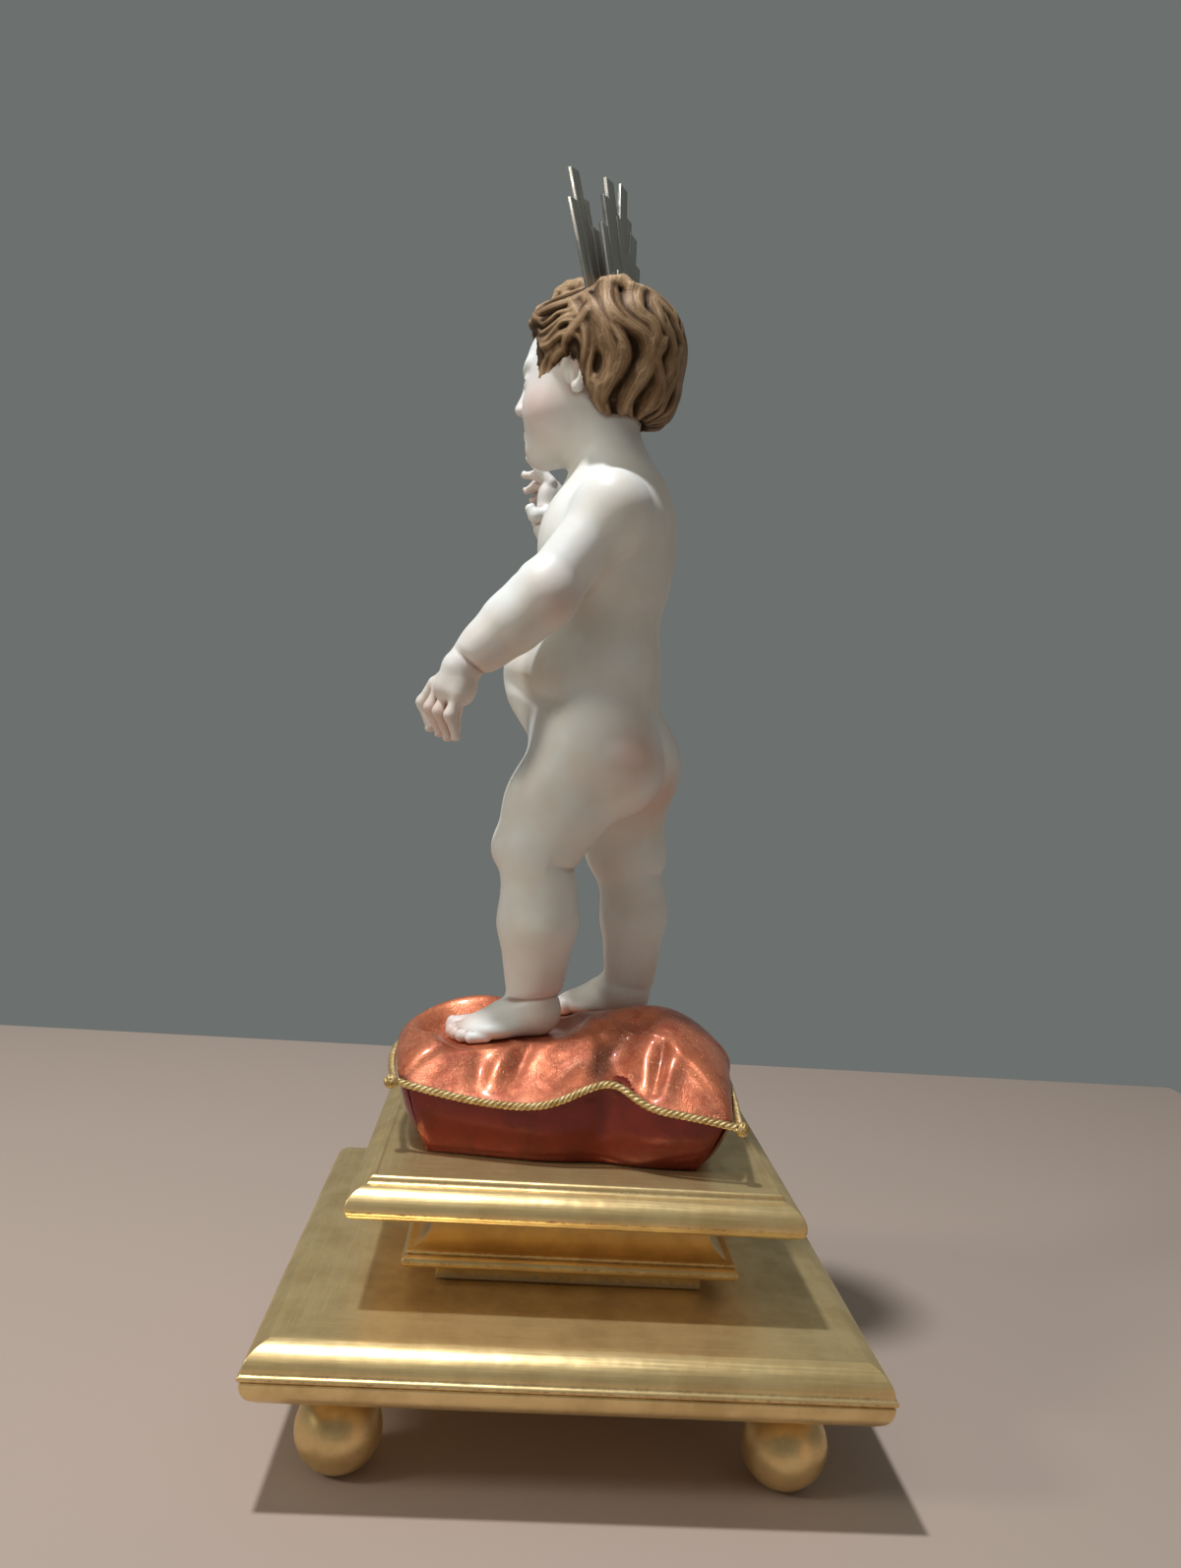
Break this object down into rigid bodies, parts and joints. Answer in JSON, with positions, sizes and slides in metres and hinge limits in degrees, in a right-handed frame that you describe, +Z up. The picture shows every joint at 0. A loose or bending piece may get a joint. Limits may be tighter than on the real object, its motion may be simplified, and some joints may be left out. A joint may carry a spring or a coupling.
{
  "type": "devotional figurine",
  "caption": "Carved and painted standing child on a red cushion with a gold cord, on a stepped gilt base with ball feet.",
  "frame": {"origin": "on the table, under the middle of the square base", "axes": "+Z up; the base's sides run along X and Y; the child faces -Y, turned 20 degrees towards -X"},
  "size_m": [0.25, 0.25, 0.5609],
  "materials": {
    "polychrome": "satin oil paint over gesso on carved wood, with brown and gold hair",
    "silver": "tarnished polished silver",
    "red_lacquer": "glossy red glaze over metal leaf with fine scribed curls",
    "gold_cord": "twisted gold thread",
    "gilding": "burnished gold leaf over bole on carved wood"
  },
  "bodies": {
    "root": {"figure": "polychrome", "halo_ray_left": "silver", "halo_ray_centre": "silver", "halo_ray_right": "silver", "cushion": "red_lacquer", "cushion_cord": "gold_cord", "upper_pedestal": "gilding", "lower_plinth": "gilding", "ball_foot_front_left": "gilding", "ball_foot_front_right": "gilding", "ball_foot_back_left": "gilding", "ball_foot_back_right": "gilding"}
  },
  "joints": []
}
